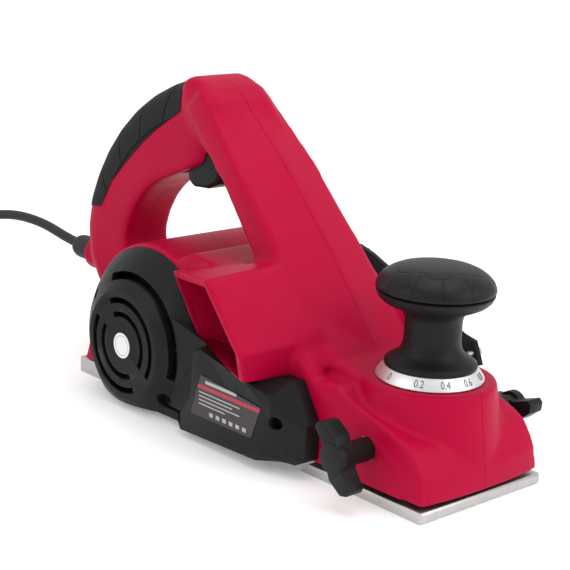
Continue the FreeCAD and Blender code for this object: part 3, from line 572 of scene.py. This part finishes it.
for x, z, face in housing_screws:
    cup = bmesh.new()
    turn_profile(cup, [(3.3, 8), (5.0, 8), (5.0, face - 1.2), (3.3, face - 1.2)], 24, True)
    bmesh.ops.recalc_face_normals(cup, faces=cup.faces)
    bmesh.ops.rotate(cup, verts=cup.verts, cent=(0, 0, 0),
                     matrix=Matrix.Rotation(-math.pi / 2, 3, "X"))
    bmesh.ops.translate(cup, verts=cup.verts, vec=(x, 0, z))
    spare = bpy.data.meshes.new("cup")
    cup.to_mesh(spare)
    cup.free()
    shape.from_mesh(spare)
    bpy.data.meshes.remove(spare)
bmesh.ops.scale(shape, vec=(MM, MM, MM), verts=shape.verts)
shape.to_mesh(left_half.data)
shape.free()
for half, node in ((right_half, "housing_right"), (left_half, "housing_left")):
    half.data.materials.clear()
    half.data.materials.append(red.material)
    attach(half, "root")
    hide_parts(node)
    crisp(half, 40)

# Grips. Soft black rubber moulded over the back of the handle, half a millimetre proud. One
# tread line runs along the handle and slanted ones cross from it to the outer edge.
rubber = Finish("grip_rubber", Specular_IOR_Level=0.15)
dust = rubber.cloud(120.0)
rubber.gloss(0.52 + dust * 0.16)
x, y, z = rubber.axes()
round_handle = rubber.node("ShaderNodeMath", {"operation": "ARCTAN2"},
                           {0: z - 0.0561, 1: x + 0.0543})
reach = ((x + 0.0543) ** 2.0 + (z - 0.0561) ** 2.0) ** 0.5
along = 1 - ((reach - 0.1145).size()).eased(0.0005, 0.0013)
slanted = ((round_handle * 14.0 + (reach - 0.1145) * 90.0).sine()).size() * 0.0085
crossing = (1 - slanted.eased(0.0005, 0.0013)) * (reach - 0.1145).eased(0.0, 0.0003)
treads = along.sum("MAXIMUM", along, crossing)
dusty = rubber.mixed(dust, (0.008, 0.008, 0.009), (0.015, 0.015, 0.016))
# The tread lines are coloured near black. This is painted shade in the grooves, which the bump
# alone doesn't darken.
rubber.coloured(rubber.mixed(treads, dusty, (0.002, 0.002, 0.002)))
rubber.raised(rubber.cloud(1800.0, 2.0) * 0.05 - treads, 0.0010)


def eased_out(piece, name, distance):
    """A copy whose surface is moved outwards by a distance."""
    twin = copied(piece, name)
    step = twin.modifiers.new("out", "DISPLACE")
    step.strength = distance
    step.mid_level = 0.0
    return settled(twin)


grip_line = [(-88, 200), (-88, 169), (-110, 155.5), (-121.7, 146.4), (-132.9, 136.8),
             (-143.7, 126.7), (-154, 116), (-165, 98), (-205, 92), (-205, 200)]
skin = eased_out(block, "skin", 0.5 * MM)
core = eased_out(block, "core", -1.8 * MM)
shape = bmesh.new()
add_plate(shape, grip_line, -40, 40)
combined(skin, tool_piece(shape, "region"), "INTERSECT")
combined(skin, core, "DIFFERENCE")
for name, side in (("right", -1), ("left", 1)):
    shape = bmesh.new()
    add_block(shape, (-250, 0), sorted((side * 0.1, side * 60)), (0, 250))
    half_space = tool_piece(shape, "half_space")
    grip = combined(copied(skin, f"grip_{name}_rubber"), half_space, "INTERSECT")
    grip.data.materials.clear()
    grip.data.materials.append(rubber.material)
    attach(grip, "root")
    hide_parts(f"grip_{name}")
    crisp(grip, 40)
bpy.data.objects.remove(skin)
bpy.data.objects.remove(block)

# Black mouldings. Glass-filled nylon with a fine spark texture: the belt cover and its
# backing, the chip baffle, the dust outlet and its collar, the trigger and the wing bolts.
black = Finish("black_plastic", Specular_IOR_Level=0.18)
bloom = black.cloud(40.0)
black.coloured(black.mixed(bloom, (0.0060, 0.0060, 0.0068), (0.0100, 0.0100, 0.0112)))
black.gloss(0.38 + bloom * 0.12)
black.raised(black.cloud(1600.0, 2.0), 0.00007)


def softened(node, name, finish, body, width, angle=28):
    """A copy of a designed part with its flat faces made whole and its edges rounded."""
    shape = bmesh.new()
    shape.from_mesh(nodes[node].data)
    bmesh.ops.remove_doubles(shape, verts=shape.verts, dist=0.00001)
    bmesh.ops.dissolve_limit(shape, angle_limit=math.radians(1.0), verts=shape.verts,
                             edges=shape.edges)
    mesh = bpy.data.meshes.new(name)
    shape.to_mesh(mesh)
    shape.free()
    piece = bpy.data.objects.new(name, mesh)
    bpy.context.scene.collection.objects.link(piece)
    mesh.materials.clear()
    mesh.materials.append(finish.material)
    edge = piece.modifiers.new("edge", "BEVEL")
    edge.width = width
    edge.segments = 2
    edge.limit_method = "ANGLE"
    edge.angle_limit = math.radians(angle)
    settled(piece)
    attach(piece, body)
    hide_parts(node)
    crisp(piece, 30)
    return piece


cover = softened("belt_cover", "belt_cover_moulding", black, "root", 0.7 * MM)
# The cover's lower rear corner is drawn forwards, under its dome.
for corner in cover.data.vertices:
    if -0.0445 < corner.co.x < -0.030 and corner.co.z < 0.0105 and corner.co.y < -0.048:
        corner.co.x += 0.012
shape = bmesh.new()
turn_profile(shape, [(12, -46.9), (53.6, -46.9), (53.6, -46.3), (12, -46.3)], 64, True)
bmesh.ops.rotate(shape, verts=shape.verts, cent=(0, 0, 0),
                 matrix=Matrix.Rotation(-math.pi / 2, 3, "X"))
bmesh.ops.translate(shape, verts=shape.verts, vec=(-75.5, 0, 38.3))
bmesh.ops.bisect_plane(shape, geom=shape.verts[:] + shape.edges[:] + shape.faces[:],
                       plane_co=(0, 0, 12), plane_no=(0, 0, -1), clear_outer=True)
bmesh.ops.holes_fill(shape, edges=[edge for edge in shape.edges if edge.is_boundary])
place_piece(shape, "cover_backing", black, "root", smooth=False)
shape = bmesh.new()
flange = [(0, 100), (11, 97), (84, 67), (92.6, 65.3), (98, 52.8), (60, 50), (8, 55)]
add_hull(shape, [(x, 46.2, z) for x, z in flange]
         + drawn_in([(x, 38, z) for x, z in flange], 0.86, (-3, 0, -7)))
place_piece(shape, "duct_collar", black, "root", smooth=False)
shape = bmesh.new()
add_plate(shape, [(-28, 54.2), (54, 54.2), (48, 62), (24, 88), (-28, 88)], -1.2, 1.2)
divider = place_piece(shape, "chip_baffle", black, "root", smooth=False)
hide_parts("chip_divider")
softened("dust_adapter", "dust_outlet", black, "root", 0.5 * MM)
softened("trigger", "trigger_moulding", black, "trigger", 0.9 * MM)
for side in ("right", "left"):
    softened(f"wing_bolt_{side}", f"clamp_bolt_{side}", black, f"bolt_{side}",
             0.8 * MM)

# Depth knob. A black moulded knob with a waisted neck and a mushroom cap, over a satin dial
# engraved with the depth in millimetres.
knob_profile = [(6, 59), (11.2, 59), (11.2, 64.1), (24.3, 64.1), (24.5, 64.8), (24.2, 66),
                (22.4, 67.4), (19.5, 69), (17.3, 71), (16, 73.2), (15.2, 75.6), (15, 78),
                (15, 87.5), (15.4, 90.5), (17, 93.2), (20, 95), (24, 96.4), (27.4, 98.2),
                (29.8, 100.6), (30.9, 103.1), (30.4, 103.7), (29.4, 104.1), (5, 104.1)]
shape = bmesh.new()
turn_profile(shape, knob_profile, 128)
bmesh.ops.translate(shape, verts=shape.verts, vec=(103.1, 0, 0))
knob = place_piece(shape, "knob_grip", black, "knob")
crisp(knob, 40)
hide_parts("depth_knob")

cap_profile = [(5, 104.3), (29.6, 104.3), (30.9, 104.8), (31.3, 105.5), (31.0, 107.2),
               (29.9, 109.6), (27.6, 112.0), (24.6, 114.1), (21, 115.7), (16, 117.0),
               (11, 117.6), (5, 117.95), (0, 118)]
cap_finish = Finish("knob_cap_plastic", Specular_IOR_Level=0.18)
bloom = cap_finish.cloud(40.0)
cap_finish.coloured(cap_finish.mixed(bloom, (0.0060, 0.0060, 0.0068), (0.0100, 0.0100, 0.0112)))
cap_finish.gloss(0.36 + bloom * 0.12)
x, y, z = cap_finish.axes()
reach = ((x - 0.1031) ** 2.0 + y * y) ** 0.5
turn_angle = cap_finish.node("ShaderNodeMath", {"operation": "ARCTAN2"}, {0: y, 1: x - 0.1031})
wavy = (turn_angle * 6.0).sine() * 0.0022
ring = 1 - ((reach - 0.0205 - wavy).size()).eased(0.00025, 0.0007)
spokes = 1 - (((turn_angle * 6.0 + 1.2).sine()).size() * reach).eased(0.0012, 0.004)
spokes = spokes * (reach - 0.0215).eased(0.0, 0.0005)
cap_finish.raised(cap_finish.cloud(1600.0, 2.0) * 0.06 - ring - spokes * 0.8, 0.0006)
shape = bmesh.new()
turn_profile(shape, cap_profile, 160)
bmesh.ops.translate(shape, verts=shape.verts, vec=(103.1, 0, 0))
cap = place_piece(shape, "knob_top", cap_finish, "knob")
crisp(cap, 40)
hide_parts("knob_cap")

silver = Finish("dial_silver", Metallic=0.85, Specular_IOR_Level=0.5)
lathe_marks = silver.cloud(220.0, 2.0, silver.moved(scale=(0.15, 0.15, 8.0)))
silver.coloured(silver.mixed(lathe_marks, (0.66, 0.66, 0.67), (0.80, 0.80, 0.81)))
silver.gloss(0.34 + lathe_marks * 0.12)
silver.raised(lathe_marks, 0.00004)
dial_profile = [(11.3, 57.8), (28.2, 57.8), (28.5, 58.1), (28.3, 58.8), (25.0, 63.3),
                (24.6, 63.8), (24.2, 63.98), (11.3, 63.98)]
shape = bmesh.new()
turn_profile(shape, dial_profile, 128, True)
bmesh.ops.translate(shape, verts=shape.verts, vec=(103.1, 0, 0))
dial = place_piece(shape, "dial_ring", silver, "knob")
crisp(dial, 25)
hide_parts("depth_dial")

ink = Finish("dial_ink", Specular_IOR_Level=0.3)
ink.coloured(ink.mixed(ink.cloud(300.0), (0.09, 0.09, 0.095), (0.14, 0.14, 0.145)))
ink.gloss(0.5 + ink.cloud(200.0) * 0.1)
slant = math.atan2(63.3 - 58.8, 28.3 - 25.0)
marks = bmesh.new()
for number in range(11):
    value = number * 0.2
    angle = math.radians(-98 if number == 0 else -59.5 + 29.3 * (number - 1))
    words = bpy.data.curves.new("figure", "FONT")
    words.body = f"{value:.0f}" if number % 5 == 0 else f"{value:.1f}"
    words.size = 5.9
    words.align_x = "CENTER"
    words.align_y = "CENTER"
    words.extrude = 0.05
    words.resolution_u = 3
    figure = bpy.data.objects.new("figure", words)
    bpy.context.scene.collection.objects.link(figure)
    mesh = bpy.data.meshes.new_from_object(figure)
    bpy.data.objects.remove(figure)
    lie = Matrix.Rotation(angle + math.pi / 2, 4, "Z") @ Matrix.Translation((0, -26.72, 61.0)) \
        @ Matrix.Rotation(slant, 4, "X") @ Matrix.Diagonal((0.75, 1, 1, 1))
    mesh.transform(Matrix.Translation((103.1, 0, 0)) @ lie)
    marks.from_mesh(mesh)
    bpy.data.meshes.remove(mesh)
place_piece(marks, "dial_figures", ink, "knob", smooth=False)

# Sole. The rear sole and the front shoe are aluminium castings, milled along their length so
# that fine lines run from end to end.
alloy = Finish("machined_aluminium", Metallic=1.0)
lines = alloy.cloud(240.0, 3.0, alloy.moved(scale=(0.03, 1.0, 1.0)))
stains = alloy.cloud(22.0)
alloy.coloured(alloy.mixed(lines, (0.44, 0.435, 0.43), (0.60, 0.595, 0.585)))
alloy.gloss(0.30 + lines * 0.12 + stains * 0.08)
alloy.raised(lines, 0.00006)
sole = softened("base_casting", "rear_sole", alloy, "root", 0.35 * MM, 40)
# The upper front corners of the drum's cheeks are drawn back, to lie inside the housing.
for corner in sole.data.vertices:
    if 0.064 < corner.co.x < 0.0725 and corner.co.z > 0.0495:
        corner.co.x -= 0.025
softened("front_shoe", "shoe_casting", alloy, "shoe", 0.35 * MM, 40)

# Label and sticker. A dark printed foil with a crimson band and pale rules stands on the
# cover's face, and a round white foil marks its hub.
foil = Finish("label_print", Specular_IOR_Level=0.5)
x, y, z = foil.axes()
foil.gloss(0.34 + foil.cloud(60.0) * 0.1)


def printed(left, right, low, high):
    """1 inside a printed bar of these X and Z limits in millimetres, 0 outside."""
    return x.above(left * MM) * x.below(right * MM) * z.above(low * MM) * z.below(high * MM)


rules = printed(1, 27, 36.9, 38.7)
for height, right in ((31.2, 30), (29.0, 24), (26.8, 30), (24.6, 18)):
    rules = rules + printed(-4, right, height - 0.35, height + 0.35)
boxes = printed(4, 36, 19.3, 21.6) * ((x * 1150.0).sine()).above(-0.2)
dark = foil.mixed(foil.cloud(500.0), (0.018, 0.013, 0.014), (0.026, 0.018, 0.020))
banded = foil.mixed(printed(-20, 60, 33.3, 35.5), dark, (0.40, 0.008, 0.034))
foil.coloured(foil.mixed(rules + boxes, banded, (0.38, 0.37, 0.37)))
shape = bmesh.new()
add_plate(shape, [(-3, 41), (-10.6, 17), (40, 17.6), (46.6, 36.5)], -66.4, -66.02)
label = place_piece(shape, "rating_foil", foil, "root", smooth=False)
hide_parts("rating_label")
paper = Finish("white_sticker", Specular_IOR_Level=0.5)
x, y, z = paper.axes()
reach = ((x + 0.0755) ** 2.0 + (z - 0.0383) ** 2.0) ** 0.5
ring = 1 - ((reach - 0.0058).size()).eased(0.0001, 0.0003)
paper.coloured(paper.mixed(ring, (0.80, 0.80, 0.79), (0.30, 0.30, 0.31)))
paper.gloss(0.3 + paper.cloud(80.0) * 0.1)
softened("cover_sticker", "hub_sticker", paper, "root", 0.05 * MM)

# Inner parts. The steel, alloy, copper and small mouldings keep their designed shapes, each
# in its own metal or moulding.
steel = Finish("steel", Metallic=1.0)
grain = steel.cloud(420.0, 3.0)
steel.coloured(steel.mixed(grain, (0.42, 0.42, 0.43), (0.60, 0.60, 0.61)))
steel.gloss(0.28 + grain * 0.14)
steel.raised(grain, 0.00003)
dark_steel = Finish("blackened_steel", Metallic=0.5)
dark_steel.coloured(dark_steel.mixed(dark_steel.cloud(420.0), (0.015, 0.015, 0.016),
                                     (0.030, 0.030, 0.031)))
dark_steel.gloss(0.38 + dark_steel.cloud(200.0) * 0.14)
heads = softened("cover_screws", "cover_screw_set", dark_steel, "root", 0.1 * MM)
# The two rear screws' heads sit deeper in their wells.
for corner in heads.data.vertices:
    if corner.co.x < 0.05 and corner.co.y < -0.0555:
        corner.co.y += 0.004
drum_alloy = Finish("drum_alloy", Metallic=1.0)
turned_lines = drum_alloy.cloud(300.0, 2.0, drum_alloy.moved(scale=(0.2, 2.4, 0.2)))
drum_alloy.coloured(drum_alloy.mixed(turned_lines, (0.48, 0.48, 0.49), (0.66, 0.66, 0.67)))
drum_alloy.gloss(0.27 + turned_lines * 0.15)
belt_rubber = Finish("belt_rubber", Specular_IOR_Level=0.3)
x, y, z = belt_rubber.axes()
ribs = (y * 2 * math.pi / 0.0016).sine()
belt_rubber.coloured(belt_rubber.mixed(belt_rubber.cloud(200.0), (0.010, 0.010, 0.010),
                                       (0.022, 0.022, 0.022)))
belt_rubber.gloss(0.62 + belt_rubber.cloud(90.0) * 0.1)
belt_rubber.raised(ribs, 0.0003)
copper = Finish("copper", Metallic=0.9)
strands = (copper.axes()[1] * 2 * math.pi / 0.0009).sine()
copper.coloured(copper.mixed(copper.cloud(160.0), (0.40, 0.13, 0.05), (0.58, 0.22, 0.09)))
copper.gloss(0.34 + copper.cloud(120.0) * 0.12)
copper.raised(strands, 0.0002)
carbon = Finish("carbon")
carbon.coloured(carbon.mixed(carbon.cloud(600.0), (0.02, 0.02, 0.02), (0.05, 0.05, 0.05)))
carbon.gloss(0.5 + carbon.cloud(300.0) * 0.2)
brass = Finish("brass", Metallic=1.0)
brass.coloured(brass.mixed(brass.cloud(200.0), (0.50, 0.36, 0.14), (0.66, 0.50, 0.22)))
brass.gloss(0.25 + brass.cloud(160.0) * 0.15)

finishes = {"red_shell": red, "grip_rubber": rubber, "black_plastic": black,
            "machined_aluminium": alloy, "steel": steel, "drum_alloy": drum_alloy,
            "belt_rubber": belt_rubber, "copper": copper, "carbon": carbon, "brass": brass,
            "dial_silver": silver, "label_print": foil, "white_sticker": paper,
            "cord_jacket": jacket}
for row in frame["record"]["subparts"]:
    part = nodes[row["node"]]
    finish = finishes[row["material_slot"]].material
    if not part.material_slots:
        continue
    for holder in part.material_slots:
        holder.link = "OBJECT"
        holder.material = finish

# Floor and light. A plain pale sweep under three soft boxes and an even white surround.
pale = Finish("pale_floor", Specular_IOR_Level=0.1, Emission_Strength=0.2)
pale.coloured(pale.mixed(pale.cloud(3.0), (0.93, 0.93, 0.93), (0.94, 0.94, 0.94)))
pale.gloss(0.7 + pale.cloud(5.0) * 0.1)
shape = bmesh.new()
bmesh.ops.create_grid(shape, x_segments=1, y_segments=1, size=6000)
floor = place_piece(shape, "floor", pale, None)
if floor.data.polygons[0].normal.z < 0:
    floor.data.flip_normals()
floor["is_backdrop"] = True

world = bpy.data.worlds.new("studio")
bpy.context.scene.world = world
world.use_nodes = True
world.node_tree.nodes["Background"].inputs["Color"].default_value = (1, 1, 1, 1)
world.node_tree.nodes["Background"].inputs["Strength"].default_value = 0.85


def soft_box(name, place, aim, size, power):
    lamp = bpy.data.lights.new(name, "AREA")
    lamp.shape = "RECTANGLE"
    lamp.size, lamp.size_y = size
    lamp.energy = power
    holder = bpy.data.objects.new(name, lamp)
    holder.location = place
    holder.rotation_euler = (Vector(aim) - Vector(place)).to_track_quat("-Z", "Y").to_euler()
    bpy.context.scene.collection.objects.link(holder)


soft_box("top_box", (0.1, 0.1, 1.3), (0, 0, 0.05), (1.0, 1.0), 6)
soft_box("front_box", (1.0, 0.4, 0.7), (0, 0, 0.08), (0.8, 0.8), 4)
soft_box("side_box", (-0.3, -1.3, 0.8), (-0.05, 0, 0.08), (0.8, 0.6), 3)

low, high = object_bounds()
